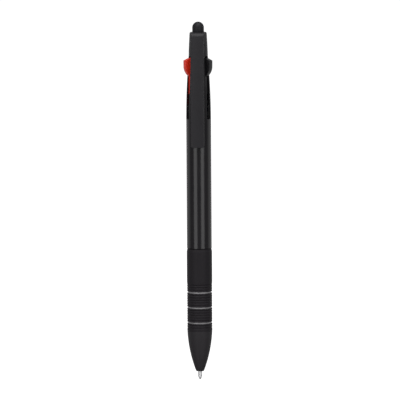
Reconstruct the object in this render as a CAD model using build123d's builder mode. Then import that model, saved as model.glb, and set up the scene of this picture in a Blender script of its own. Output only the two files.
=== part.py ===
from build123d import *
from math import asin, cos, degrees, radians, sin, sqrt, tan
import os

# Three-colour slide pen with a stylus dome. Millimetres. Z runs up the pen from the ball of
# the extended refill, and the pocket clip faces -Y. The red slider stands at the left of the
# clip, the black one at its right and the blue one behind. Red and black are up, blue is down.

# ---- stack along the pen, from the ball upwards ----
tip_reach = 3.5  # the extended ball stands this far out of the nose
nose_length = 16.9  # bare nose cone
sleeve_length = 34.0  # rubber grip sleeve
joint_gap = 0.1  # sleeve to upper barrel
barrel_length = 79.4  # upper barrel, joint to cap
cap_length = 9.85
dome_height = 4.25  # stylus dome above the cap
travel = 10.0  # slider, from up to latched down

# ---- upper barrel ----
barrel_wall = 0.72  # round the lower barrel's spigot
barrel_top_r = 3.95
shoulder_length = 26.9  # the barrel draws in over this length to meet the cap
mouth_wall = 0.7  # at the cap
seat_step = 0.3  # step that the spring seat rests on
foot_chamfer = 0.25
slot_gap = 0.15  # slot to slider, each side
slot_end_gap = 0.25
slot_corner_round = 0.5

# ---- lower barrel ----
spigot_length = 7.5
spigot_gap = 0.05
core_wall = 0.7  # under the sleeve, and on through the spigot
core_gap = 0.175  # core round the refills
nose_stand = 0.02  # nose past the barrel's surface
nose_end_wall = 0.61
nose_bulge = 0.7
nose_end_round = 0.25
exit_gap = 0.15  # nose hole round the metal tip
exit_length = 1.1
nose_wall_gap = 0.12  # nose cavity round a retracted refill

# ---- grip sleeve and its rings ----
sleeve_stand = 0.08  # sleeve past the barrel's surface
sleeve_bevel = 0.22
sleeve_bevel_height = 1.1
rib_sink = 0.04  # ribs below the plain part
rib_pitch = 1.05
rib_groove_r = 0.35
rib_groove_depth = 0.26
first_groove = 1.3  # lowest groove above the sleeve's foot
groove_count = 18
ring_grooves = {"lower": 2, "middle": 8, "upper": 14}  # which grooves hold a ring
ring_sink = 0.32  # rings below the ribs
ring_height = 0.62
ring_depth = 0.24

# ---- cap ----
cap_top_r = 3.5
cap_top_round = 0.6
cap_bulge = 0.06
prong_length = 6.5
prong_wall = 0.5
prong_gap = 0.05
prong_body_gap = 0.17  # prongs to slider bodies
post_gap = 0.2  # post to slider bodies
post_end_gap = 1.2  # post's end above the slider bosses

# ---- pocket clip ----
clip_width = 5.5
clip_gap = 0.1  # clip root to cap
clip_back = 2.4  # back of the root, distance from the pen's axis
clip_root_length = 8.6
clip_root_reach = 4.9  # strip's inner face where it leaves the root
clip_top_reach = 5.7
clip_top_round = 2.2
clip_space = 0.98  # barrel to the clip's straight part
clip_length = 47.1
clip_straight = 16.3
clip_thickness = 1.6
clip_edge_round = 0.4
clip_corner_round = 0.9
nub_half = 2.0
nub_height = 3.6  # nub's middle above the clip's end
nub_gap = 0.1  # nub to barrel
tongue_width = 3.0
tongue_height = 1.4
tongue_depth = 0.7
tongue_drop = 1.9  # tongue's middle below the cap's top
tongue_gap = 0.12

# ---- stylus ----
dome_r = 2.41
dome_wall = 0.75
stem_r = 0.95
stem_length = 5.0
stem_gap = 0.03
stem_head_height = 1.5
stem_head_gap = 0.01

# ---- sliders ----
slider_width = 2.2
tab_gap = 0.7  # tab to cap, slider up
tab_stand = 1.14  # tab past the barrel's surface
tab_height = 7.7
tab_slope = 1.0
tab_face = 2.3  # upright outer face under the slope
leg_reach = 3.9
leg_length = 7.2
body_step = 0.5  # body past the leg, each side
body_gap = 0.2  # body to the barrel's mouth
body_space = 0.18  # body to its neighbours
boss_length = 4.3
boss_gap = 0.1  # boss to barrel bore
nipple_r = 0.75
nipple_length = 4.0

# ---- refills, springs and their seat ----
refill_r = 1.175
refill_bore_r = 0.85
refill_top_gap = 0.1
tip_r = 0.85
ball_r = 0.35
ball_gap = 0.01
cone_start = 0.3  # ball's end to the rolled lip of the tip
cone_length = 1.4
cone_end_r = 0.42
feed_r = 0.3  # ink channel through the tip
tip_straight = 5.0  # ball's end to the tip's shoulder
tip_shoulder = 1.5
tip_length = 8.5  # ball's end to the foot of the plastic tube
tip_stem_length = 4.0
tip_stem_gap = 0.02
ink_length = 62.0
ink_gap = 0.01
seat_height = 29.5  # seat's underside above the joint
seat_thickness = 2.5
seat_gap = 0.05
seat_hole_gap = 0.12
wire_r = 0.15
spring_gap = 0.175  # spring round the tube
spring_space = 0.684  # between neighbouring springs
spring_turns = 15
spring_end_gap = 0.1

slider_angles = {"red": 210.0, "black": 330.0, "blue": 90.0}
colour_down = "blue"

# ---- radii and distances from the pen's axis, worked out from the sizes ----
half_turn = radians(180 / len(slider_angles))
boss_r = refill_r + spring_gap + 2 * wire_r
refill_offset = (boss_r + spring_space / 2) / sin(half_turn)  # a retracted refill
barrel_bore_r = refill_offset + boss_r + boss_gap
lower_bore_r = barrel_bore_r - seat_step
mouth_bore_r = barrel_top_r - mouth_wall
core_bore_r = refill_offset + refill_r + core_gap
core_r = core_bore_r + core_wall
spigot_bore_r = core_r + spigot_gap
barrel_r = spigot_bore_r + barrel_wall
nose_r = barrel_r + nose_stand
exit_r = tip_r + exit_gap
nose_end_r = exit_r + nose_end_wall
sleeve_r = barrel_r + sleeve_stand
rib_r = sleeve_r - rib_sink
ring_r = rib_r - ring_sink
tab_reach = barrel_r + tab_stand
body_width = slider_width + 2 * body_step
body_outer = sqrt((mouth_bore_r - body_gap) ** 2 - (body_width / 2) ** 2)
body_inner = body_width / 2 / tan(half_turn) + body_space
prong_r = mouth_bore_r - prong_gap
prong_bore_r = prong_r - prong_wall
post_r = body_inner - post_gap
clip_inner = barrel_r + clip_space
clip_reach = clip_inner + clip_thickness

# ---- places along the pen, worked out from the sizes ----
z_sleeve = tip_reach + nose_length
z_sleeve_top = z_sleeve + sleeve_length
z_joint = z_sleeve_top + joint_gap
z_spigot = z_joint + spigot_length
z_cap = z_joint + barrel_length
z_cap_top = z_cap + cap_length
z_shoulder = z_cap - shoulder_length
z_root = z_cap_top - clip_root_length
z_clip_end = z_cap_top - clip_length
z_seat = z_joint + seat_height
z_seat_top = z_seat + seat_thickness
z_tab_top = z_cap - tab_gap
z_tab = z_tab_top - tab_height
z_leg = z_tab - leg_length
z_boss = z_leg - boss_length
z_slot = z_leg - travel - slot_end_gap
refill_length = sqrt((z_boss - travel) ** 2 + refill_offset**2)
lean = degrees(asin(refill_offset / refill_length))  # an extended refill, off upright


def side_plane(angle):
    """Plane through the pen's axis. Its X points out at the angle and its Y up the pen."""
    out = Vector(cos(radians(angle)), sin(radians(angle)), 0)
    return Plane(origin=(0, 0, 0), x_dir=out, z_dir=out.cross(Vector(0, 0, 1)))


def facing_plane(angle):
    """Plane through the pen's axis that faces out at the angle, with its Y up the pen."""
    out = Vector(cos(radians(angle)), sin(radians(angle)), 0)
    return Plane(origin=(0, 0, 0), x_dir=Vector(0, 0, 1).cross(out), z_dir=out)


def refill_plane(colour):
    """The refill's own side plane. Its origin is the ball's end and its Y runs up the refill."""
    side = side_plane(slider_angles[colour])
    if colour == colour_down:
        up = side.x_dir * sin(radians(lean)) + side.y_dir * cos(radians(lean))
        return Plane(origin=(0, 0, 0), x_dir=up.cross(side.z_dir), z_dir=side.z_dir)
    foot = side.x_dir * refill_offset + side.y_dir * travel
    return Plane(origin=foot, x_dir=side.x_dir, z_dir=side.z_dir)


def drop(colour):
    """How far a slider stands below its raised place."""
    return travel if colour == colour_down else 0.0


def groove_z(number):
    return z_sleeve + first_groove + number * rib_pitch


def save(part, name):
    part.label = name
    export_step(part, f"parts/{name}.step")


os.makedirs("parts", exist_ok=True)
clip_side = side_plane(-90.0)

# ---- upper barrel: one moulding, slit three times from its top for the sliders ----
with BuildPart() as upper_barrel:
    with BuildSketch(Plane.XZ):
        with BuildLine():
            Line((barrel_r, z_joint), (barrel_r, z_shoulder))
            TangentArc((barrel_r, z_shoulder), (barrel_top_r, z_cap), tangent=(0, 1))
            Polyline(
                (barrel_top_r, z_cap),
                (mouth_bore_r, z_cap),
                (barrel_bore_r, z_leg),
                (barrel_bore_r, z_seat),
                (lower_bore_r, z_seat),
                (lower_bore_r, z_spigot + spigot_gap),
                (spigot_bore_r, z_spigot + spigot_gap),
                (spigot_bore_r, z_joint),
                (barrel_r, z_joint),
            )
        make_face()
    revolve(axis=Axis.Z)
    foot_edges = upper_barrel.edges().filter_by(GeomType.CIRCLE).group_by(Axis.Z)[0]
    chamfer(foot_edges.sort_by(SortBy.RADIUS)[-1], foot_chamfer)
    for angle in slider_angles.values():
        with BuildSketch(facing_plane(angle)) as slot:
            with Locations((0, z_slot)):
                Rectangle(
                    slider_width + 2 * slot_gap,
                    z_cap - z_slot,
                    align=(Align.CENTER, Align.MIN),
                )
            fillet(slot.vertices().group_by(Axis.Y)[0], slot_corner_round)
        extrude(amount=barrel_r * 2, mode=Mode.SUBTRACT)
save(upper_barrel.part, "upper_barrel")

# ---- lower barrel: spigot, core under the sleeve and bare nose cone in one moulding ----
with BuildPart() as lower_barrel:
    with BuildSketch(Plane.XZ):
        with BuildLine():
            tip_room = refill_offset + tip_r + nose_wall_gap
            tube_room = refill_offset + refill_r + nose_wall_gap
            z_tip_shoulder = travel + tip_straight
            SagittaArc((nose_end_r, tip_reach), (nose_r, z_sleeve), -nose_bulge)
            Polyline(
                (nose_r, z_sleeve),
                (core_r, z_sleeve),
                (core_r, z_spigot),
                (core_bore_r, z_spigot),
                (core_bore_r, z_sleeve),
                (tube_room, z_tip_shoulder + tip_shoulder),
                (tip_room, z_tip_shoulder),
                (tip_room, travel + cone_length),
                (refill_offset + ball_r + nose_wall_gap, travel),
                (exit_r, tip_reach + exit_length),
                (exit_r, tip_reach),
                (nose_end_r, tip_reach),
            )
        make_face()
    revolve(axis=Axis.Z)
    end_edges = lower_barrel.edges().filter_by(GeomType.CIRCLE).group_by(Axis.Z)[0]
    fillet(end_edges.sort_by(SortBy.RADIUS)[-1], nose_end_round)
save(lower_barrel.part, "lower_barrel")

# ---- grip sleeve: rubber, ribbed low down, with a squarer groove for each ring ----
with BuildPart() as grip_sleeve:
    with BuildSketch(Plane.XZ):
        with BuildLine():
            z_ribs_end = groove_z(groove_count) - rib_pitch / 2
            Polyline(
                (core_r, z_sleeve),
                (rib_r, z_sleeve),
                (rib_r, z_ribs_end),
                (sleeve_r, z_ribs_end + rib_pitch / 2),
                (sleeve_r, z_sleeve_top - sleeve_bevel_height),
                (sleeve_r - sleeve_bevel, z_sleeve_top),
                (core_r, z_sleeve_top),
                close=True,
            )
        make_face()
        for number in range(groove_count):
            if number in ring_grooves.values():
                with Locations((ring_r - ring_depth, groove_z(number))):
                    Rectangle(
                        barrel_r,
                        ring_height,
                        align=(Align.MIN, Align.CENTER),
                        mode=Mode.SUBTRACT,
                    )
            else:
                with Locations((rib_r + rib_groove_r - rib_groove_depth, groove_z(number))):
                    Circle(rib_groove_r, mode=Mode.SUBTRACT)
    revolve(axis=Axis.Z)
save(grip_sleeve.part, "grip_sleeve")

# ---- three plated trim rings, sprung into the sleeve's squarer grooves ----
for place, number in ring_grooves.items():
    with BuildPart() as grip_ring:
        with BuildSketch(Plane.XY.offset(groove_z(number))):
            Circle(ring_r)
            Circle(ring_r - ring_depth, mode=Mode.SUBTRACT)
        extrude(amount=ring_height / 2, both=True)
    save(grip_ring.part, f"grip_ring_{place}")

# ---- cap: three prongs plug the slit end, and a post keeps the sliders apart ----
with BuildPart() as cap:
    with BuildSketch(Plane.XZ):
        with BuildLine():
            SagittaArc((barrel_top_r, z_cap), (cap_top_r, z_cap_top), -cap_bulge)
            Polyline(
                (cap_top_r, z_cap_top), (0, z_cap_top), (0, z_cap), (barrel_top_r, z_cap)
            )
        make_face()
    revolve(axis=Axis.Z)
    fillet(cap.edges().filter_by(GeomType.CIRCLE).group_by(Axis.Z)[-1], cap_top_round)
    with BuildSketch(Plane.XY.offset(z_cap)):
        slider_room = asin((body_width / 2 + prong_body_gap) / prong_bore_r)
        wedge_half = 2 * prong_r * tan(slider_room)
        Circle(prong_r)
        Circle(prong_bore_r, mode=Mode.SUBTRACT)
        with PolarLocations(0, len(slider_angles), start_angle=slider_angles["blue"]):
            Polygon(
                (0, 0),
                (2 * prong_r, -wedge_half),
                (2 * prong_r, wedge_half),
                align=None,
                mode=Mode.SUBTRACT,
            )
    extrude(amount=-prong_length)
    with BuildSketch(Plane.XY.offset(z_cap)):
        Circle(post_r)
    extrude(amount=-(z_cap - z_leg - post_end_gap))
    with BuildSketch(clip_side):
        with Locations((clip_back - clip_gap, z_root - clip_gap)):
            Rectangle(barrel_r, clip_root_length + clip_gap, align=(Align.MIN, Align.MIN))
    extrude(amount=clip_width / 2 + clip_gap, both=True, mode=Mode.SUBTRACT)
    with BuildSketch(clip_side):
        with Locations((clip_back, z_cap_top - tongue_drop)):
            Rectangle(
                tongue_depth + tongue_gap,
                tongue_height + 2 * tongue_gap,
                align=(Align.MAX, Align.CENTER),
            )
    extrude(amount=tongue_width / 2 + tongue_gap, both=True, mode=Mode.SUBTRACT)
    with BuildSketch(Plane.XY.offset(z_cap_top)):
        Circle(stem_r + stem_gap)
    extrude(amount=-stem_length, mode=Mode.SUBTRACT)
save(cap.part, "cap")

# ---- pocket clip: root and tongue sit in the cap's front, and a nub presses the barrel ----
with BuildPart() as pocket_clip:
    with BuildSketch(clip_side):
        with BuildLine():
            z_straight = z_clip_end + clip_straight
            z_nub = z_clip_end + nub_height
            z_round = z_cap_top - clip_top_round
            TangentArc((clip_reach, z_straight), (clip_top_reach, z_round), tangent=(0, 1))
            RadiusArc(
                (clip_top_reach, z_round),
                (clip_top_reach - clip_top_round, z_cap_top),
                -clip_top_round,
            )
            Polyline(
                (clip_top_reach - clip_top_round, z_cap_top),
                (clip_back, z_cap_top),
                (clip_back, z_root),
                (clip_root_reach, z_root),
            )
            TangentArc((clip_inner, z_straight), (clip_root_reach, z_root), tangent=(0, 1))
            Line((clip_inner, z_straight), (clip_inner, z_nub + nub_half))
            ThreePointArc(
                (clip_inner, z_nub + nub_half),
                (barrel_r + nub_gap, z_nub),
                (clip_inner, z_nub - nub_half),
            )
            Polyline(
                (clip_inner, z_nub - nub_half),
                (clip_inner, z_clip_end),
                (clip_reach, z_clip_end),
                (clip_reach, z_straight),
            )
        make_face()
    extrude(amount=clip_width / 2, both=True)
    end_face = pocket_clip.faces().sort_by(Axis.Z)[0]
    fillet(end_face.edges().filter_by(Axis.Y), clip_corner_round)
    front_faces = pocket_clip.faces().filter_by(lambda face: face.normal_at().Y < -0.9)
    long_edges = front_faces.edges().filter_by(lambda edge: abs((edge % 0.5).Z) > 0.9)
    fillet(long_edges, clip_edge_round)
    with BuildSketch(clip_side):
        with Locations((clip_back, z_cap_top - tongue_drop)):
            Rectangle(tongue_depth, tongue_height, align=(Align.MAX, Align.CENTER))
    extrude(amount=tongue_width / 2, both=True)
save(pocket_clip.part, "pocket_clip")

# ---- stylus: conductive rubber dome over a stem that presses into the cap ----
with BuildPart() as stylus_holder:
    with BuildSketch(Plane.XY.offset(z_cap_top)):
        Circle(dome_r - dome_wall - stem_head_gap)
    extrude(amount=stem_head_height)
    with BuildSketch(Plane.XY.offset(z_cap_top)):
        Circle(stem_r)
    extrude(amount=-stem_length)
save(stylus_holder.part, "stylus_holder")

with BuildPart() as stylus_tip:
    with BuildSketch(Plane.XZ):
        with BuildLine():
            z_dome = z_cap_top + dome_height
            dome_bore_r = dome_r - dome_wall
            Line((dome_r, z_cap_top), (dome_r, z_dome - dome_r))
            RadiusArc((dome_r, z_dome - dome_r), (0, z_dome), -dome_r)
            Line((0, z_dome), (0, z_dome - dome_wall))
            RadiusArc((0, z_dome - dome_wall), (dome_bore_r, z_dome - dome_r), dome_bore_r)
            Polyline(
                (dome_bore_r, z_dome - dome_r), (dome_bore_r, z_cap_top), (dome_r, z_cap_top)
            )
        make_face()
    revolve(axis=Axis.Z)
save(stylus_tip.part, "stylus_tip")

# ---- spring seat: a disc on the barrel's step, with a long hole that each refill leans in ----
with BuildPart() as spring_seat:
    with BuildSketch(Plane.XY.offset(z_seat)):
        Circle(barrel_bore_r - seat_gap)
        leaned = refill_offset * z_seat / (z_boss - travel)
        with PolarLocations(
            (leaned + refill_offset) / 2, len(slider_angles), start_angle=slider_angles["blue"]
        ):
            SlotCenterToCenter(
                refill_offset - leaned, 2 * (refill_r + seat_hole_gap), mode=Mode.SUBTRACT
            )
    extrude(amount=seat_thickness)
save(spring_seat.part, "spring_seat")


def make_slider(colour):
    """Tab and leg in the slot, a wider body inside, and a boss and nipple for the refill."""
    side = side_plane(slider_angles[colour])
    low = drop(colour)
    centre = side.x_dir * refill_offset
    with BuildPart() as slider:
        with BuildSketch(side):
            with BuildLine():
                z_face = z_tab_top - low - tab_slope - tab_face
                z_underside = z_tab - low
                Polyline(
                    (leg_reach, z_underside),
                    (leg_reach, z_leg - low),
                    (body_inner, z_leg - low),
                    (body_inner, z_tab_top - low),
                    (leg_reach, z_tab_top - low),
                    (tab_reach, z_tab_top - low - tab_slope),
                    (tab_reach, z_face),
                )
                TangentArc((tab_reach, z_face), (leg_reach, z_underside), tangent=(0, -1))
            make_face()
        extrude(amount=slider_width / 2, both=True)
        with BuildSketch(side):
            with Locations((body_inner, z_leg - low)):
                Rectangle(
                    body_outer - body_inner, z_tab_top - z_leg, align=(Align.MIN, Align.MIN)
                )
        extrude(amount=body_width / 2, both=True)
        with BuildSketch(Plane.XY.offset(z_boss - low)):
            with Locations((centre.X, centre.Y)):
                Circle(boss_r)
        extrude(amount=boss_length)
        with BuildSketch(Plane.XY.offset(z_boss - low)):
            with Locations((centre.X, centre.Y)):
                Circle(nipple_r)
        extrude(amount=-nipple_length)
    return slider.part


def make_refill_tube(colour):
    """Drawn plastic tube, pressed on the tip's stem below and on the slider's nipple above."""
    plane = refill_plane(colour)
    with BuildPart() as tube:
        with BuildSketch(plane):
            with Locations((refill_bore_r, tip_length)):
                Rectangle(
                    refill_r - refill_bore_r,
                    refill_length - refill_top_gap - tip_length,
                    align=(Align.MIN, Align.MIN),
                )
        revolve(axis=Axis(plane.origin, plane.y_dir))
    return tube.part


def make_refill_tip(colour):
    """Turned brass tip: rolled lip, writing cone, shoulder and a stem for the tube."""
    plane = refill_plane(colour)
    tip_stem_r = refill_bore_r - tip_stem_gap
    with BuildPart() as tip:
        with BuildSketch(plane):
            with BuildLine():
                Polyline(
                    (feed_r, cone_start),
                    (cone_end_r, cone_start),
                    (tip_r, cone_length),
                    (tip_r, tip_straight),
                    (refill_r, tip_straight + tip_shoulder),
                    (refill_r, tip_length),
                    (tip_stem_r, tip_length),
                    (tip_stem_r, tip_length + tip_stem_length),
                    (feed_r, tip_length + tip_stem_length),
                    close=True,
                )
            make_face()
            with Locations((0, ball_r)):
                Circle(ball_r + ball_gap, mode=Mode.SUBTRACT)
        revolve(axis=Axis(plane.origin, plane.y_dir))
    return tip.part


def make_ball(colour):
    """Carbide writing ball, held by the tip's rolled lip."""
    plane = refill_plane(colour)
    with BuildPart() as ball:
        with BuildSketch(plane):
            with Locations((0, ball_r)):
                Circle(ball_r)
                Rectangle(ball_r, 2 * ball_r, align=(Align.MAX, Align.CENTER), mode=Mode.SUBTRACT)
        revolve(axis=Axis(plane.origin, plane.y_dir))
    return ball.part


def make_ink(colour):
    """Column of paste ink standing in the tube above the tip's stem."""
    plane = refill_plane(colour)
    with BuildPart() as ink:
        with BuildSketch(plane):
            with Locations((0, tip_length + tip_stem_length)):
                Rectangle(refill_bore_r - ink_gap, ink_length, align=(Align.MIN, Align.MIN))
        revolve(axis=Axis(plane.origin, plane.y_dir))
    return ink.part


def make_spring(colour):
    """Return spring round the tube, from the seat up to the slider's boss."""
    plane = refill_plane(colour)
    low_end = z_seat_top - plane.origin.Z + spring_end_gap + wire_r
    high_end = z_boss - drop(colour) - plane.origin.Z - spring_end_gap - wire_r
    with BuildPart() as spring:
        with BuildLine() as coil:
            Helix(
                pitch=(high_end - low_end) / spring_turns,
                height=high_end - low_end,
                radius=boss_r - wire_r,
                center=plane.origin + plane.y_dir * low_end,
                direction=plane.y_dir,
            )
        with BuildSketch(Plane(origin=coil.line @ 0, z_dir=coil.line % 0)):
            Circle(wire_r)
        sweep(is_frenet=True)
    return spring.part


# ---- one slider, refill and spring of each colour ----
for colour in slider_angles:
    save(make_slider(colour), f"{colour}_slider")
    save(make_refill_tube(colour), f"{colour}_refill_tube")
    save(make_refill_tip(colour), f"{colour}_refill_tip")
    save(make_ball(colour), f"{colour}_refill_ball")
    save(make_ink(colour), f"{colour}_ink")
    save(make_spring(colour), f"{colour}_spring")
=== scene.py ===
from math import asin, cos, pi, radians, sin, sqrt

import bmesh
import bpy
from mathutils import Matrix, Vector


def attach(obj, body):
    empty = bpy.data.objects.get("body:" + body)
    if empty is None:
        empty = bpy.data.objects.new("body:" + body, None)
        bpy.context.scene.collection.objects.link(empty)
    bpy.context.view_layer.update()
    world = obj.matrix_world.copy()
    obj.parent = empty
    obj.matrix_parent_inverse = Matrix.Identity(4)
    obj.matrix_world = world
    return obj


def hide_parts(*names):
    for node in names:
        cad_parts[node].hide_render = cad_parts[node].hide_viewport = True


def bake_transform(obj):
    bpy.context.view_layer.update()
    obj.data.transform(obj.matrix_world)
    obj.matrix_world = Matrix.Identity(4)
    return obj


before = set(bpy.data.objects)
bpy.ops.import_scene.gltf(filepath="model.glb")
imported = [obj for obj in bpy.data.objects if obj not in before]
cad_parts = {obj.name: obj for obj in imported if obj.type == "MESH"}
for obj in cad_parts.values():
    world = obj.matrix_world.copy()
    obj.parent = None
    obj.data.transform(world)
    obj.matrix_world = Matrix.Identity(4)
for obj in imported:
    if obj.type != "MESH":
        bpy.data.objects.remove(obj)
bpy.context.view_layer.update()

# ---- lower barrel ----
# The nose cone the fingers end on, with the core that carries the rubber grip and the spigot
# that screws into the upper barrel. One moulding in dark plastic, left bare below the rubber.
mm = 0.001
nose_tip_z = 3.5
nose_tip_r = 1.61
nose_top_z = 20.4
nose_top_r = 5.14
nose_bow = 0.7
core_r = 4.35
core_bore_r = 3.65
spigot_top_z = 62.0
nose_bore = [(3.595, 16.5), (3.270, 15.0), (3.270, 11.4), (2.770, 10.0), (1.000, 4.6)]
nose_mouth_r = 1.000
nose_bow_steps = 40
nose_softening = 0.22
turning_sides = 112


class Wire:
    """One socket of a node tree, or the tree itself, that Python's own signs work on."""

    def __init__(self, tree, socket=None):
        self.tree = tree
        self.socket = socket

    def node(self, kind, settings=None, sockets=None, out=0):
        made = self.tree.nodes.new(kind)
        for name, value in (settings or {}).items():
            if name == "stops":
                ramp = made.color_ramp.elements
                while len(ramp) < len(value):
                    ramp.new(0.5)
                for stop, (place, grey) in zip(ramp, value):
                    stop.position = place
                    stop.color = (grey, grey, grey, 1)
            else:
                setattr(made, name, value)
        for name, value in (sockets or {}).items():
            if isinstance(value, Wire):
                self.tree.links.new(value.socket, made.inputs[name])
            else:
                made.inputs[name].default_value = value
        return Wire(self.tree, made.outputs[out])

    def math(self, operation, first, second=0.0):
        return self.node("ShaderNodeMath", {"operation": operation}, {0: first, 1: second})

    def __add__(self, other):
        return self.math("ADD", self, other)

    def __radd__(self, other):
        return self.math("ADD", other, self)

    def __sub__(self, other):
        return self.math("SUBTRACT", self, other)

    def __rsub__(self, other):
        return self.math("SUBTRACT", other, self)

    def __mul__(self, other):
        return self.math("MULTIPLY", self, other)

    def __rmul__(self, other):
        return self.math("MULTIPLY", other, self)

    def __truediv__(self, other):
        return self.math("DIVIDE", self, other)


def finish_of(name, pale, deep, gloss, grain, depth, stretch=1.0, scuffs=0.08, **constants):
    """A finish with cloudy colour, a fine grain and scuffs that run along the pen.

    pale and deep are the two ends of the colour, gloss the roughness and its spread, grain the
    size of the surface's grain and depth its height in mm, constants the shader's own sockets.
    """
    material = bpy.data.materials.new(name)
    material.use_nodes = True
    tree = material.node_tree
    shader = tree.nodes["Principled BSDF"]
    w = Wire(tree)
    place = w.node("ShaderNodeTexCoord", out="Object")
    along = w.node("ShaderNodeMapping", sockets={"Vector": place, "Scale": (1, 1, stretch)})
    cloud = w.node("ShaderNodeTexNoise", sockets={"Vector": place, "Scale": 210.0, "Detail": 4.0})
    fine = w.node(
        "ShaderNodeTexNoise",
        sockets={"Vector": along, "Scale": 1 / (grain * mm), "Detail": 3.0, "Roughness": 0.6},
    )
    drawn = w.node("ShaderNodeMapping", sockets={"Vector": place, "Scale": (1, 1, 0.08)})
    rubs = w.node("ShaderNodeTexNoise", sockets={"Vector": drawn, "Scale": 1500.0, "Detail": 5.0})
    scuff = w.node("ShaderNodeValToRGB", {"stops": [(0.58, 0.0), (0.74, 1.0)]}, {0: rubs})
    shade = w.node(
        "ShaderNodeMix",
        {"data_type": "RGBA"},
        {0: cloud * 0.7 + fine * 0.3, 6: (*deep, 1), 7: (*pale, 1)},
        out=2,
    )
    rough = gloss[0] + gloss[1] * (cloud - 0.5) + scuffs * scuff
    bump = w.node(
        "ShaderNodeBump",
        sockets={"Height": fine + 0.25 * scuff, "Distance": depth * mm, "Strength": 0.6},
    )
    tree.links.new(shade.socket, shader.inputs["Base Color"])
    tree.links.new(rough.socket, shader.inputs["Roughness"])
    tree.links.new(bump.socket, shader.inputs["Normal"])
    for socket, value in constants.items():
        shader.inputs[socket.replace("_", " ")].default_value = value
    return material


def bow(a, b, rise, steps):
    """Points from a to b on a shallow curve that stands rise off the straight line."""
    (ra, za), (rb, zb) = a, b
    run = sqrt((rb - ra) ** 2 + (zb - za) ** 2)
    out = ((zb - za) / run, -(rb - ra) / run)
    points = []
    for i in range(steps + 1):
        t = i / steps
        lift = 4 * rise * t * (1 - t)
        points.append((ra + (rb - ra) * t + out[0] * lift, za + (zb - za) * t + out[1] * lift))
    return points


def softened(section, radius, steps=3):
    """The closed section with its sharp corners rounded, each as far as its sides allow."""
    rounded = []
    count = len(section)
    for i, (r, z) in enumerate(section):
        before = Vector(section[i - 1]) - Vector((r, z))
        after = Vector(section[(i + 1) % count]) - Vector((r, z))
        bend = pi - before.angle(after)
        on_axis = r < 1e-6
        if bend < radians(25) or on_axis:
            rounded.append((r, z))
            continue
        cut = min(radius, before.length * 0.45, after.length * 0.45)
        start = Vector((r, z)) + before.normalized() * cut
        end = Vector((r, z)) + after.normalized() * cut
        for k in range(steps + 1):
            t = k / steps
            point = start * (1 - t) ** 2 + Vector((r, z)) * 2 * t * (1 - t) + end * t * t
            rounded.append((point.x, point.y))
    return rounded


def add_piece(name, bm, material, crease=32.0):
    """Turns finished bmesh work into a piece that stands at the origin."""
    bmesh.ops.recalc_face_normals(bm, faces=bm.faces)
    mesh = bpy.data.meshes.new(name)
    bm.to_mesh(mesh)
    bm.free()
    piece = bpy.data.objects.new(name, mesh)
    bpy.context.scene.collection.objects.link(piece)
    mesh.materials.append(material)
    mesh.polygons.foreach_set("use_smooth", [True] * len(mesh.polygons))
    mesh.set_sharp_from_angle(angle=radians(crease))
    return piece


def turned(name, section, material, place=Matrix.Identity(4), sides=turning_sides):
    """Lathe work: the closed section, in mm, turned round Z and then put in place."""
    bm = bmesh.new()
    rings = []
    for r, z in section:
        if r < 1e-6:
            rings.append([bm.verts.new((0, 0, z * mm))] * sides)
            continue
        turn = [2 * pi * i / sides for i in range(sides)]
        rings.append([bm.verts.new((r * mm * cos(a), r * mm * sin(a), z * mm)) for a in turn])
    for low, high in zip(rings, rings[1:] + rings[:1]):
        for i in range(sides):
            j = (i + 1) % sides
            corners = []
            for vert in (low[i], low[j], high[j], high[i]):
                if vert not in corners:
                    corners.append(vert)
            if len(corners) > 2:
                bm.faces.new(corners)
    bm.transform(place)
    return add_piece(name, bm, material)


barrel_plastic = finish_of(
    "barrel plastic",
    pale=(0.0160, 0.0144, 0.0170),
    deep=(0.0106, 0.0095, 0.0114),
    gloss=(0.19, 0.08),
    grain=0.14,
    depth=0.0012,
)
nose_plastic = finish_of(
    "nose plastic",
    pale=(0.0208, 0.0178, 0.0218),
    deep=(0.0160, 0.0136, 0.0168),
    gloss=(0.60, 0.08),
    grain=0.11,
    depth=0.0035,
    Specular_IOR_Level=0.42,
)
nose_section = bow((nose_tip_r, nose_tip_z), (nose_top_r, nose_top_z), nose_bow, nose_bow_steps)
nose_section += [
    (core_r, nose_top_z),
    (core_r, spigot_top_z),
    (core_bore_r, spigot_top_z),
    (core_bore_r, nose_top_z),
    *nose_bore,
    (nose_mouth_r, nose_tip_z),
]
nose = turned("nose_and_spigot", softened(nose_section, nose_softening), nose_plastic)
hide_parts("lower_barrel")
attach(nose, "grip_section")

# ---- grip sleeve ----
# A soft rubber sleeve pulled over the core. It is plain above and has rounded ribs below, where
# three of the grooves are cut square for the trim rings. Moulded in one piece.
sleeve_foot_z = nose_top_z
sleeve_length = 34.0
sleeve_r = 5.20
rib_r = 5.16
rib_pitch = 1.05
rib_first = 1.3
rib_count = 18
rib_groove_depth = 0.26
ring_first = 2
ring_every = 6
ring_groove_depth = 0.56
ring_groove_half = 0.31
sleeve_bevel = 0.22
sleeve_bevel_height = 1.1
square_groove_slope = 12
square_groove_lead = 0.5
plain_rise_start = 0.3
plain_rise_length = 0.5
sleeve_rows = 460


def named_inputs(tree, sizes):
    """Gives the tree its named inputs and hands back each one as a Wire."""
    tree.interface.new_socket("Geometry", in_out="OUTPUT", socket_type="NodeSocketGeometry")
    kinds = {int: "NodeSocketInt", tuple: "NodeSocketVector"}
    for name, value in sizes.items():
        kind = kinds.get(type(value), "NodeSocketFloat")
        tree.interface.new_socket(name, in_out="INPUT", socket_type=kind)
    source = tree.nodes.new("NodeGroupInput")
    return {name: Wire(tree, source.outputs[name]) for name in sizes}


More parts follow.
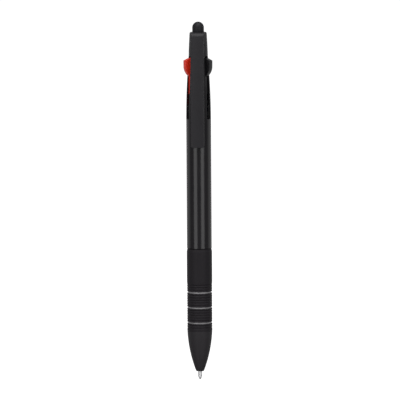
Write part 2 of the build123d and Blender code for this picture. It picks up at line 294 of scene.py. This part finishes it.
def grown(name, tree, sizes, material):
    """Runs a geometry tree on an empty mesh and keeps the result as a plain mesh."""
    seed = bpy.data.objects.new(name + "_seed", bpy.data.meshes.new(name + "_seed"))
    bpy.context.scene.collection.objects.link(seed)
    modifier = seed.modifiers.new("grow", "NODES")
    modifier.node_group = tree
    for item in tree.interface.items_tree:
        if item.in_out == "INPUT":
            modifier[item.identifier] = sizes[item.name]
    graph = bpy.context.evaluated_depsgraph_get()
    mesh = bpy.data.meshes.new_from_object(seed.evaluated_get(graph))
    bpy.data.objects.remove(seed)
    mesh.name = name
    bm = bmesh.new()
    bm.from_mesh(mesh)
    bmesh.ops.remove_doubles(bm, verts=bm.verts, dist=1e-7)
    bpy.data.meshes.remove(mesh)
    return add_piece(name, bm, material)


def end_tree(w, geometry, material):
    """Closes a tree: instances made real, and the finish put on."""
    real = w.node("GeometryNodeRealizeInstances", sockets={0: geometry})
    done = w.node("GeometryNodeSetMaterial", sockets={0: real, "Material": material})
    sink = w.tree.nodes.new("NodeGroupOutput")
    w.tree.links.new(done.socket, sink.inputs[0])


def wall_tree(name, sizes, material, radius_at, rows, sides):
    """A round wall of rows by sides. radius_at gives the radius for a height above its foot."""
    tree = bpy.data.node_groups.new(name, "GeometryNodeTree")
    tree.is_modifier = True
    size = named_inputs(tree, sizes)
    w = Wire(tree)
    grid = w.node(
        "GeometryNodeMeshGrid",
        sockets={"Size X": 1.0, "Size Y": 1.0, "Vertices X": sides + 1, "Vertices Y": rows + 1},
    )
    at = w.node("GeometryNodeInputPosition")
    split = w.tree.nodes.new("ShaderNodeSeparateXYZ")
    w.tree.links.new(at.socket, split.inputs[0])
    angle = (Wire(tree, split.outputs[0]) + 0.5) * (2 * pi)
    height = (Wire(tree, split.outputs[1]) + 0.5) * size["Length"]
    radius = radius_at(w, size, height)
    position = w.node(
        "ShaderNodeCombineXYZ",
        sockets={
            0: radius * w.math("COSINE", angle),
            1: radius * w.math("SINE", angle),
            2: height + size["Foot"],
        },
    )
    shaped = w.node("GeometryNodeSetPosition", sockets={0: grid, "Position": position})
    end_tree(w, shaped, material)
    return tree


def sleeve_radius(w, size, height):
    """Plain above, with rounded ribs below that meet in grooves. Some grooves are square, for
    the rings."""
    step = (height - size["First groove"]) / size["Pitch"]
    number = w.math("ROUND", step)
    near = w.math("ABSOLUTE", step - number) * size["Pitch"]
    past_first = w.math("GREATER_THAN", number, -0.5)
    before_last = w.math("LESS_THAN", number, size["Grooves"] - 0.5)
    inside = past_first * before_last
    off_crest = w.math("MAXIMUM", 1 - near * 2 / size["Pitch"], 0.0)
    crown = w.math("SQRT", w.math("MAXIMUM", 1 - off_crest * off_crest, 0.0))
    cut = (1 - crown) * size["Groove depth"]
    turn = w.math("FLOORED_MODULO", number - size["First ring"], size["Ring every"])
    square = w.math("LESS_THAN", w.math("ABSOLUTE", turn), 0.5)
    sunk = (size["Ring half"] - near) * square_groove_slope + square_groove_lead * mm
    wall = w.math("MINIMUM", w.math("MAXIMUM", sunk, 0), size["Ring depth"])
    groove = inside * (square * wall + (1 - square) * cut)
    top = size["First groove"] + size["Pitch"] * size["Grooves"]
    above = (height - top + plain_rise_start * mm) / (plain_rise_length * mm)
    plain = w.math("MINIMUM", w.math("MAXIMUM", above, 0.0), 1.0)
    crest = size["Rib radius"] + plain * (size["Radius"] - size["Rib radius"])
    rim = size["Length"] - size["Bevel height"]
    bevel = w.math("MAXIMUM", (height - rim) / size["Bevel height"], 0.0) * size["Bevel"]
    return crest - groove - bevel


sleeve_sizes = {
    "Foot": sleeve_foot_z * mm,
    "Length": sleeve_length * mm,
    "Radius": sleeve_r * mm,
    "Rib radius": rib_r * mm,
    "Pitch": rib_pitch * mm,
    "First groove": rib_first * mm,
    "Grooves": float(rib_count),
    "Groove depth": rib_groove_depth * mm,
    "First ring": float(ring_first),
    "Ring every": float(ring_every),
    "Ring depth": ring_groove_depth * mm,
    "Ring half": ring_groove_half * mm,
    "Bevel": sleeve_bevel * mm,
    "Bevel height": sleeve_bevel_height * mm,
}
rubber = finish_of(
    "grip rubber",
    pale=(0.0112, 0.0084, 0.0122),
    deep=(0.0080, 0.0059, 0.0088),
    gloss=(0.62, 0.10),
    grain=0.09,
    depth=0.0045,
    Specular_IOR_Level=0.34,
)
sleeve_tree = wall_tree(
    "ribbed sleeve", sleeve_sizes, rubber, sleeve_radius, sleeve_rows, turning_sides
)
sleeve = grown("rubber_sleeve", sleeve_tree, sleeve_sizes, rubber)


def give_thickness(piece, bore_r):
    """Closes a turned skin into a solid: rims at both ends and a bore down the middle."""
    bm = bmesh.new()
    bm.from_mesh(piece.data)
    open_edges = [e for e in bm.edges if e.is_boundary]
    grown_out = bmesh.ops.extrude_edge_only(bm, edges=open_edges)["geom"]
    inner = [v for v in grown_out if isinstance(v, bmesh.types.BMVert)]
    for vert in inner:
        share = bore_r * mm / sqrt(vert.co.x**2 + vert.co.y**2)
        vert.co.x *= share
        vert.co.y *= share
    bmesh.ops.bridge_loops(bm, edges=[e for e in bm.edges if e.is_boundary])
    bmesh.ops.recalc_face_normals(bm, faces=bm.faces)
    bm.to_mesh(piece.data)
    bm.free()
    piece.data.set_sharp_from_angle(angle=radians(32))


give_thickness(sleeve, core_r)
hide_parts("grip_sleeve")
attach(sleeve, "grip_section")

# ---- trim rings ----
# Three thin bands of plated brass, sprung open and let into the sleeve's square grooves. Their
# plating has gone dull and they sit below the ribs.
ring_r = 4.84
ring_depth = 0.24
ring_half = 0.31
ring_crown = 0.03
ring_rows = 8
plating = finish_of(
    "dull plating",
    pale=(0.400, 0.390, 0.402),
    deep=(0.320, 0.312, 0.324),
    gloss=(0.56, 0.10),
    grain=0.20,
    depth=0.0020,
    stretch=6.0,
    Metallic=0.55,
)


def band_radius(w, size, height):
    """A band a little crowned across its width."""
    across = (height / size["Length"]) * 2 - 1
    return size["Radius"] - size["Crown"] * across * across


band_sizes = {
    "Foot": 0.0,
    "Length": 2 * ring_half * mm,
    "Radius": ring_r * mm,
    "Crown": ring_crown * mm,
}
band_tree = wall_tree("trim band", band_sizes, plating, band_radius, ring_rows, turning_sides)
for number, place in enumerate(("lower", "middle", "upper")):
    groove = ring_first + number * ring_every
    middle = sleeve_foot_z + rib_first + groove * rib_pitch
    band_sizes["Foot"] = (middle - ring_half) * mm
    band = grown("trim_ring_" + place, band_tree, band_sizes, plating)
    give_thickness(band, ring_r - ring_depth)
    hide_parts("grip_ring_" + place)
    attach(band, "grip_section")

# ---- upper barrel ----
# The long glossy tube, moulded in dark plastic. It draws in towards the cap and is slit three
# times from its top, which leaves three fingers with a slider running in each slot.
barrel_foot_z = 54.5
barrel_r = 5.12
barrel_foot_chamfer = 0.25
shoulder_z = 107.0
barrel_top_z = 133.9
barrel_top_r = 3.95
mouth_bore_r = 3.25
barrel_bore_r = 4.05
spigot_socket_r = 4.40
spigot_socket_top_z = 62.05
seat_ledge_r = 3.75
seat_ledge_z = 84.0
plain_rows_z = (70.0, 88.0)
slot_foot_z = 108.05
slot_half = 1.25
slot_corner = 0.5
bore_change_z = 118.3
finger_steps = 30
slot_steps = 6
slot_corner_steps = 5
slot_rows = 34
barrel_easing = 0.07
slot_angles = [radians(a) for a in (90, 210, 330)]


def barrel_outer(z):
    drawn_in = max(0.0, (z - shoulder_z) / (barrel_top_z - shoulder_z))
    return barrel_r - (barrel_r - barrel_top_r) * drawn_in**2


def barrel_inner(z):
    narrowed = max(0.0, (z - bore_change_z) / (barrel_top_z - bore_change_z))
    return barrel_bore_r - (barrel_bore_r - mouth_bore_r) * narrowed


def slot_reach(z):
    """Half the slot's width at this height, with its two lower corners rounded."""
    rise = min(max(z - slot_foot_z, 0.0), slot_corner)
    return slot_half - slot_corner + sqrt(slot_corner**2 - (slot_corner - rise) ** 2)


def barrel_row(bm, r, z):
    """One ring of the barrel: three fingers and, below the slots, the wall between them."""
    edge = asin(slot_reach(z) / r)
    point = lambda a: bm.verts.new((r * mm * cos(a), r * mm * sin(a), z * mm))
    fingers, gaps = [], []
    for k in range(3):
        start = slot_angles[k] + edge
        end = slot_angles[k] + 2 * pi / 3 - edge
        fingers.append(
            [point(start + (end - start) * i / finger_steps) for i in range(finger_steps + 1)]
        )
    for k in range(3):
        inner = []
        if z <= slot_foot_z:
            for i in range(1, slot_steps):
                inner.append(point(slot_angles[k] - edge + 2 * edge * i / slot_steps))
        gaps.append([fingers[k - 1][-1]] + inner + [fingers[k][0]])
    return fingers, gaps


def lace(bm, one, other):
    for i in range(len(one) - 1):
        bm.faces.new((one[i], one[i + 1], other[i + 1], other[i]))


bm = bmesh.new()
low_outer = [
    (barrel_r - barrel_foot_chamfer, barrel_foot_z),
    (barrel_r, barrel_foot_z + barrel_foot_chamfer),
    *((barrel_r, z) for z in plain_rows_z),
    (barrel_r, shoulder_z),
    (barrel_outer(slot_foot_z), slot_foot_z),
]
low_inner = [
    (spigot_socket_r, barrel_foot_z),
    (spigot_socket_r, spigot_socket_top_z),
    (seat_ledge_r, spigot_socket_top_z),
    (seat_ledge_r, seat_ledge_z),
    (barrel_bore_r, seat_ledge_z),
    (barrel_bore_r, slot_foot_z),
]
slot_heights = [
    slot_foot_z + slot_corner * (1 - cos(pi / 2 * i / slot_corner_steps))
    for i in range(1, slot_corner_steps + 1)
]
corners_end_z = slot_heights[-1]
slot_heights += [
    corners_end_z + (barrel_top_z - corners_end_z) * i / slot_rows for i in range(1, slot_rows + 1)
]
outer = [barrel_row(bm, r, z) for r, z in low_outer]
inner = [barrel_row(bm, r, z) for r, z in low_inner]
low_count = len(outer)
for rows in (outer, inner):
    for low, high in zip(rows, rows[1:]):
        for k in range(3):
            lace(bm, low[1][k], high[1][k])
outer += [barrel_row(bm, barrel_outer(z), z) for z in slot_heights]
inner += [barrel_row(bm, barrel_inner(z), z) for z in slot_heights]
for rows in (outer, inner):
    for low, high in zip(rows, rows[1:]):
        for k in range(3):
            lace(bm, low[0][k], high[0][k])
for k in range(3):
    lace(bm, outer[0][0][k], inner[0][0][k])
    lace(bm, outer[0][1][k], inner[0][1][k])
    lace(bm, outer[-1][0][k], inner[-1][0][k])
    lace(bm, outer[low_count - 1][1][k], inner[low_count - 1][1][k])
    for side in (0, -1):
        lace(
            bm,
            [row[0][k][side] for row in outer[low_count - 1 :]],
            [row[0][k][side] for row in inner[low_count - 1 :]],
        )
barrel = add_piece("slit_barrel", bm, barrel_plastic)


def eased(piece, width, turn=48.0, steps=2):
    """Takes the sharpness off a piece's edges, as a mould does, and keeps the plain mesh."""
    modifier = piece.modifiers.new("ease", "BEVEL")
    modifier.width = width * mm
    modifier.segments = steps
    modifier.limit_method = "ANGLE"
    modifier.angle_limit = radians(turn)
    modifier.use_clamp_overlap = True
    graph = bpy.context.evaluated_depsgraph_get()
    smooth = bpy.data.meshes.new_from_object(piece.evaluated_get(graph))
    piece.modifiers.clear()
    piece.data = smooth
    smooth.polygons.foreach_set("use_smooth", [True] * len(smooth.polygons))
    smooth.set_sharp_from_angle(angle=radians(38))


eased(barrel, barrel_easing)
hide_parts("upper_barrel")
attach(barrel, "barrel")

# ---- spring seat ----
# A thick disc of natural plastic that drops onto a step in the barrel. Each refill passes
# through one of its three long holes and each spring stands on it.
seat_plastic = finish_of(
    "natural plastic",
    pale=(0.62, 0.61, 0.57),
    deep=(0.48, 0.47, 0.43),
    gloss=(0.45, 0.12),
    grain=0.15,
    depth=0.0040,
)


def refinish(node, material):
    """Puts a finish on a CAD piece whose shape is already right."""
    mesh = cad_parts[node].data
    mesh.materials.clear()
    mesh.materials.append(material)


refinish("spring_seat", seat_plastic)

# ---- refills ----
# Three ballpoint refills: a drawn plastic tube with a column of ink, and a turned, nickel
# plated tip that holds a carbide ball in its rolled lip. The blue one is down and leans in.
refill_offset = 2.30016
travel = 10.0
lean = radians(1.266999787)
tip_bore_r = 0.3
tip_softening = 0.05
tip_sides = 64
inks = {
    "red": ((0.42, 0.012, 0.010), (0.30, 0.008, 0.008)),
    "black": ((0.012, 0.012, 0.014), (0.007, 0.007, 0.009)),
    "blue": ((0.012, 0.025, 0.27), (0.008, 0.015, 0.18)),
}
seat_angles = {"red": radians(210), "black": radians(330), "blue": radians(90)}
tube_plastic = finish_of(
    "drawn tube",
    pale=(0.74, 0.73, 0.69),
    deep=(0.60, 0.59, 0.55),
    gloss=(0.30, 0.10),
    grain=0.30,
    depth=0.0020,
    stretch=0.15,
    Transmission_Weight=0.35,
)
tip_plate = finish_of(
    "turned nickel",
    pale=(0.90, 0.90, 0.91),
    deep=(0.82, 0.82, 0.83),
    gloss=(0.40, 0.10),
    grain=0.05,
    depth=0.0008,
    stretch=9.0,
    Metallic=0.6,
)
ball_carbide = finish_of(
    "ground carbide",
    pale=(0.52, 0.52, 0.54),
    deep=(0.38, 0.38, 0.40),
    gloss=(0.24, 0.10),
    grain=0.04,
    depth=0.0006,
    Metallic=1.0,
)


def stand_of(colour):
    """Where a refill stands: its ball's end, and which way it leans."""
    angle = seat_angles[colour]
    if colour == "blue":
        return Matrix.Rotation(lean, 4, Vector((-sin(angle), cos(angle), 0)))
    foot = Vector((cos(angle) * refill_offset, sin(angle) * refill_offset, travel)) * mm
    return Matrix.Translation(foot)


# The tip's closed section, as radius and height over the ball's end, from the lip up.
tip_section = [
    (tip_bore_r, 0.62),
    (0.36, 0.34),
    (0.42, 0.30),
    (0.50, 0.44),
    (0.85, 1.40),
    (0.85, 2.90),
    (0.82, 2.95),
    (0.82, 3.05),
    (0.85, 3.10),
    (0.85, 5.00),
    (1.175, 6.50),
    (1.175, 8.50),
    (0.83, 8.50),
    (0.83, 12.50),
    (tip_bore_r, 12.50),
]
for colour, (pale, deep) in inks.items():
    ink = finish_of(
        colour + " ink",
        pale=pale,
        deep=deep,
        gloss=(0.22, 0.08),
        grain=0.50,
        depth=0.0010,
    )
    refinish(colour + "_ink", ink)
    refinish(colour + "_refill_tube", tube_plastic)
    refinish(colour + "_refill_ball", ball_carbide)
    tip_profile = softened(tip_section, tip_softening)
    tip = turned(colour + "_writing_tip", tip_profile, tip_plate, stand_of(colour), tip_sides)
    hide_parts(colour + "_refill_tip")
    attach(tip, colour + "_refill")

# ---- return springs ----
# A spring of bright drawn wire round each refill, with its end coils closed. It stands on the
# seat and pushes its slider up, so it is shorter where the slider is down.
coil_r = 1.5
wire_r = 0.15
coil_turns = 15.0
closed_turns = 1.5
closed_pitch = 2.06 * wire_r
coil_points = 361
wire_sides = 10
coil_foot_z = 86.75
coil_top_z = {"red": 113.75, "black": 113.75, "blue": 103.75}
wire_steel = finish_of(
    "drawn wire",
    pale=(0.66, 0.65, 0.63),
    deep=(0.50, 0.49, 0.47),
    gloss=(0.24, 0.10),
    grain=0.10,
    depth=0.0010,
    Metallic=1.0,
)
coil_sizes = {
    "Coil radius": coil_r * mm,
    "Wire radius": wire_r * mm,
    "Height": (coil_top_z["red"] - coil_foot_z) * mm,
    "Turns": coil_turns,
    "Closed turns": closed_turns,
    "Closed pitch": closed_pitch * mm,
    "Points": coil_points,
}
coil_tree = bpy.data.node_groups.new("return spring", "GeometryNodeTree")
coil_tree.is_modifier = True
coil_size = named_inputs(coil_tree, coil_sizes)
w = Wire(coil_tree)
line = w.node("GeometryNodeCurvePrimitiveLine")
dots = w.node("GeometryNodeResampleCurve", sockets={"Curve": line, "Count": coil_size["Points"]})
turns_done = w.node("GeometryNodeSplineParameter") * coil_size["Turns"]
closed = coil_size["Closed turns"]
opened = coil_size["Turns"] - closed * 2
open_pitch = (coil_size["Height"] - coil_size["Closed pitch"] * closed * 2) / opened
low_part = w.math("MINIMUM", turns_done, closed) * coil_size["Closed pitch"]
free_part = w.math("MINIMUM", w.math("MAXIMUM", turns_done - closed, 0.0), opened) * open_pitch
high_part = w.math("MAXIMUM", turns_done - closed - opened, 0.0) * coil_size["Closed pitch"]
swing = turns_done * (2 * pi)
coil_point = w.node(
    "ShaderNodeCombineXYZ",
    sockets={
        0: coil_size["Coil radius"] * w.math("COSINE", swing),
        1: coil_size["Coil radius"] * w.math("SINE", swing),
        2: low_part + free_part + high_part,
    },
)
helix = w.node("GeometryNodeSetPosition", sockets={0: dots, "Position": coil_point})
wire_round = w.node(
    "GeometryNodeCurvePrimitiveCircle",
    sockets={"Resolution": wire_sides, "Radius": coil_size["Wire radius"]},
)
drawn_wire = w.node(
    "GeometryNodeCurveToMesh",
    sockets={"Curve": helix, "Profile Curve": wire_round, "Fill Caps": True},
)
end_tree(w, drawn_wire, wire_steel)
for colour, angle in seat_angles.items():
    coil_sizes["Height"] = (coil_top_z[colour] - coil_foot_z) * mm
    spring = grown(colour + "_return_spring", coil_tree, coil_sizes, wire_steel)
    stand = stand_of(colour)
    up = stand.to_3x3() @ Vector((0, 0, 1))
    foot_height = coil_foot_z * mm - stand.translation.z
    spring.data.transform(stand @ Matrix.Translation(Vector((0, 0, foot_height / up.z))))
    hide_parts(colour + "_spring")
    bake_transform(spring)

# ---- colour sliders ----
# One plastic moulding for each colour: a finger tab and a leg that show in the slot, and a
# wider body inside that the refill plugs into. The blue one is pushed down.
slider_easing = 0.16
slider_finishes = {
    "red": ((0.94, 0.032, 0.006), (0.86, 0.026, 0.005), (0.42, 0.08)),
    "black": ((0.0155, 0.0152, 0.0172), (0.0105, 0.0103, 0.0120), (0.33, 0.10)),
    "blue": ((0.015, 0.060, 0.36), (0.010, 0.043, 0.28), (0.36, 0.10)),
}


def eased_copy(node, name, material, width):
    """A copy of a CAD piece with its flats made whole and its edges eased."""
    bm = bmesh.new()
    bm.from_mesh(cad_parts[node].data)
    bmesh.ops.remove_doubles(bm, verts=bm.verts, dist=2e-7)
    bmesh.ops.dissolve_limit(bm, angle_limit=radians(0.6), verts=bm.verts, edges=bm.edges)
    piece = add_piece(name, bm, material)
    eased(piece, width, turn=40.0, steps=3)
    return piece


for colour, (pale, deep, gloss) in slider_finishes.items():
    slider_plastic = finish_of(
        colour + " slider plastic",
        pale=pale,
        deep=deep,
        gloss=gloss,
        grain=0.12,
        depth=0.0030,
    )
    slider = eased_copy(
        colour + "_slider", colour + "_colour_slider", slider_plastic, slider_easing
    )
    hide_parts(colour + "_slider")
    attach(slider, colour + "_selector")

# ---- cap ----
# A short plug of the barrel's plastic. Its prongs hold the fingers apart and its front is cut
# away for the clip's root.
cap_easing = 0.06
cap_plastic = finish_of(
    "cap plastic",
    pale=(0.0172, 0.0158, 0.0192),
    deep=(0.0130, 0.0120, 0.0146),
    gloss=(0.42, 0.08),
    grain=0.13,
    depth=0.0020,
    Specular_IOR_Level=0.42,
)
cap = eased_copy("cap", "end_cap", cap_plastic, cap_easing)
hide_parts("cap")
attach(cap, "barrel")

# ---- pocket clip ----
# A springy strip moulded with a satin face. Its root sits in the cap's front, its top rounds
# over to the cap's, and a nub near its end presses the barrel.
clip_top_z = 143.75
clip_end_z = 96.65
clip_half = 2.75
clip_top_round = 2.2
clip_top_reach = 5.7
clip_straight_z = 112.95
clip_outer_reach = 7.70
clip_inner_reach = 6.10
clip_root_z = 135.15
clip_root_reach = 4.9
clip_back = 2.4
clip_edge = 0.4
clip_back_edge = 0.12
clip_corner = 0.9
nub_z = 100.25
nub_half = 2.0
nub_rise = 0.88
edge_steps = 5
end_steps = 7
straight_steps = 34
curved_steps = 24
root_steps = 8
top_steps = 12


def clip_front(z):
    """How far the clip's face stands from the pen's axis."""
    round_z = clip_top_z - clip_top_round
    if z > round_z:
        rounded = sqrt(max(clip_top_round**2 - (z - round_z) ** 2, 0))
        return clip_top_reach - clip_top_round + rounded
    rise = max(0.0, (z - clip_straight_z) / (round_z - clip_straight_z))
    return clip_outer_reach - (clip_outer_reach - clip_top_reach) * rise**2


def clip_rear(z):
    """How far its back stands, with the nub."""
    rise = max(0.0, (z - clip_straight_z) / (clip_root_z - clip_straight_z))
    back = clip_inner_reach - (clip_inner_reach - clip_root_reach) * rise**2
    off = abs(z - nub_z) / nub_half
    return back - nub_rise * max(0.0, 1 - off**2)


def clip_row(bm, front, rear, half, edge, z):
    """One level of the clip, with its front edges rounded and its back ones eased."""
    corners = []
    for sx, y, r in (
        (1, -front, edge),
        (-1, -front, edge),
        (-1, -rear, clip_back_edge),
        (1, -rear, clip_back_edge),
    ):
        inward = 1 if y == -front else -1
        arc = []
        for i in range(edge_steps + 1):
            a = pi / 2 * i / edge_steps
            arc.append((sx * (half - r + r * cos(a)), y + inward * (r - r * sin(a))))
        if (sx, inward) in ((-1, 1), (1, -1)):
            arc.reverse()
        corners += arc
    return [bm.verts.new((x * mm, y * mm, z * mm)) for x, y in corners]


levels = [
    clip_end_z + clip_corner * (1 - cos(pi / 2 * i / end_steps)) for i in range(end_steps + 1)
]
end_top_z = levels[-1]
levels += [
    end_top_z + (clip_straight_z - end_top_z) * i / straight_steps
    for i in range(1, straight_steps + 1)
]
levels += [
    clip_straight_z + (clip_root_z - clip_straight_z) * i / curved_steps
    for i in range(1, curved_steps + 1)
]
top_levels = [
    clip_root_z + (clip_top_z - clip_top_round - clip_root_z) * i / root_steps
    for i in range(root_steps + 1)
]
top_levels += [
    clip_top_z - clip_top_round + clip_top_round * sin(pi / 2 * i / top_steps)
    for i in range(1, top_steps + 1)
]
bm = bmesh.new()
rows = []
for z in levels:
    rise = min(z - clip_end_z, clip_corner)
    half = clip_half - clip_corner + sqrt(clip_corner**2 - (clip_corner - rise) ** 2)
    rows.append(clip_row(bm, clip_front(z), clip_rear(z), half, clip_edge, z))
for z in top_levels:
    rows.append(clip_row(bm, clip_front(z), clip_back, clip_half, clip_edge, z))
for low, high in zip(rows, rows[1:]):
    lace(bm, low + low[:1], high + high[:1])
bm.faces.new(rows[0])
bm.faces.new(rows[-1])
clip_plastic = finish_of(
    "clip plastic",
    pale=(0.0172, 0.0158, 0.0192),
    deep=(0.0137, 0.0125, 0.0153),
    gloss=(0.50, 0.06),
    grain=0.10,
    depth=0.0022,
    Specular_IOR_Level=0.36,
)
clip = add_piece("spring_clip", bm, clip_plastic)
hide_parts("pocket_clip")
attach(clip, "clip")

# ---- stylus ----
# A hollow dome of conductive rubber pulled over a headed stem, which is pressed into the cap.
dome_r = 2.41
dome_wall = 0.75
dome_foot_z = clip_top_z
dome_top_z = 148.0
dome_steps = 20
dome_bore_steps = 10
dome_softening = 0.12
dome_rubber = finish_of(
    "dome rubber",
    pale=(0.0082, 0.0075, 0.0112),
    deep=(0.0060, 0.0055, 0.0082),
    gloss=(0.58, 0.08),
    grain=0.10,
    depth=0.0030,
    Specular_IOR_Level=0.36,
)
dome_centre_z = dome_top_z - dome_r
dome_section = [(dome_r, dome_foot_z)]
for i in range(dome_steps + 1):
    a = pi / 2 * i / dome_steps
    dome_section.append((dome_r * cos(a), dome_centre_z + dome_r * sin(a)))
dome_bore_r = dome_r - dome_wall
for i in range(dome_bore_steps + 1):
    a = pi / 2 * i / dome_bore_steps
    dome_section.append((dome_bore_r * sin(a), dome_centre_z + dome_bore_r * cos(a)))
dome_section += [(dome_bore_r, dome_foot_z)]
dome_section = [(0.0 if abs(r) < 1e-6 else r, z) for r, z in dome_section]
dome = turned("stylus_dome", softened(dome_section, dome_softening), dome_rubber)
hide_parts("stylus_tip")
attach(dome, "barrel")
refinish("stylus_holder", cap_plastic)

# ---- studio ----
# A wide pale floor well under the pen, with a tall soft box at each side in front, dimmer and
# broader ones behind that light the edges, and one overhead.
floor_z = -0.35
floor_half = 6.0
view_turn = radians(4.2)
view_height = radians(6.0)
view_distance = 2.0
view_roll = radians(0.34)
view_side = 0.00037
view_rise = 0.00045
view_lens = 437.34
room_glow = 0.16
room_shown = 0.9
pen_middle = Vector((0.0, 0.0, 0.074))

bm = bmesh.new()
floor_corners = [
    bm.verts.new((x * floor_half, y * floor_half, floor_z))
    for x, y in ((-1, -1), (1, -1), (1, 1), (-1, 1))
]
bm.faces.new(floor_corners)
paper = finish_of(
    "white paper",
    pale=(0.93, 0.93, 0.93),
    deep=(0.90, 0.90, 0.90),
    gloss=(0.85, 0.05),
    grain=2.0,
    depth=0.0100,
)
paper_shader = paper.node_tree.nodes["Principled BSDF"]
paper_shader.inputs["Emission Color"].default_value = (1, 1, 1, 1)
paper_shader.inputs["Emission Strength"].default_value = 1.0
floor = add_piece("studio_floor", bm, paper)
floor.visible_diffuse = False
floor.visible_glossy = False


def soft_box(name, turn, height, distance, wide, tall, power):
    """A flat soft light aimed at the pen's middle, turned off straight ahead by an angle."""
    lamp = bpy.data.lights.new(name, "AREA")
    lamp.shape = "RECTANGLE"
    lamp.size = wide
    lamp.size_y = tall
    lamp.energy = power
    holder = bpy.data.objects.new(name, lamp)
    bpy.context.scene.collection.objects.link(holder)
    a = view_turn + radians(turn)
    away = Vector((sin(a) * cos(height), -cos(a) * cos(height), sin(height)))
    holder.location = pen_middle + away * distance
    holder.rotation_euler = (-away).to_track_quat("-Z", "Y").to_euler()
    holder.visible_camera = False


soft_box("left box", turn=-33.0, height=0.0, distance=1.0, wide=0.54, tall=1.8, power=4.4)
soft_box("right box", turn=33.0, height=0.0, distance=1.0, wide=0.54, tall=1.8, power=4.4)
soft_box("back box", turn=180.0, height=0.0, distance=1.3, wide=2.0, tall=1.8, power=3.5)
soft_box("rear left box", turn=-122.0, height=0.0, distance=1.2, wide=1.4, tall=1.8, power=2.8)
soft_box("rear right box", turn=122.0, height=0.0, distance=1.2, wide=1.4, tall=1.8, power=2.8)
soft_box("top box", turn=0.0, height=radians(75), distance=1.2, wide=1.0, tall=0.8, power=10.0)

world = bpy.data.worlds.new("white room")
bpy.context.scene.world = world
world.use_nodes = True
tree = world.node_tree
w = Wire(tree)
seen = w.node("ShaderNodeLightPath", out="Is Camera Ray")
strength = room_glow + seen * room_shown
backdrop = tree.nodes["Background"]
backdrop.inputs["Color"].default_value = (1, 1, 1, 1)
tree.links.new(strength.socket, backdrop.inputs["Strength"])

lens = bpy.data.cameras.new("camera")
lens.sensor_width = 36.0
lens.lens = view_lens
lens.clip_start = 0.01
lens.clip_end = 50.0
camera = bpy.data.objects.new("camera", lens)
bpy.context.scene.collection.objects.link(camera)
away = Vector(
    (sin(view_turn) * cos(view_height), -cos(view_turn) * cos(view_height), sin(view_height))
)
sideways = Vector((cos(view_turn), sin(view_turn), 0))
looked_at = pen_middle + Vector((0, 0, view_rise)) + sideways * view_side
camera.location = looked_at + away * view_distance
aim = away.to_track_quat("Z", "Y").to_matrix().to_4x4()
camera.rotation_euler = (aim @ Matrix.Rotation(-view_roll, 4, "Z")).to_euler()
bpy.context.scene.camera = camera
bpy.context.scene.view_settings.view_transform = "Standard"
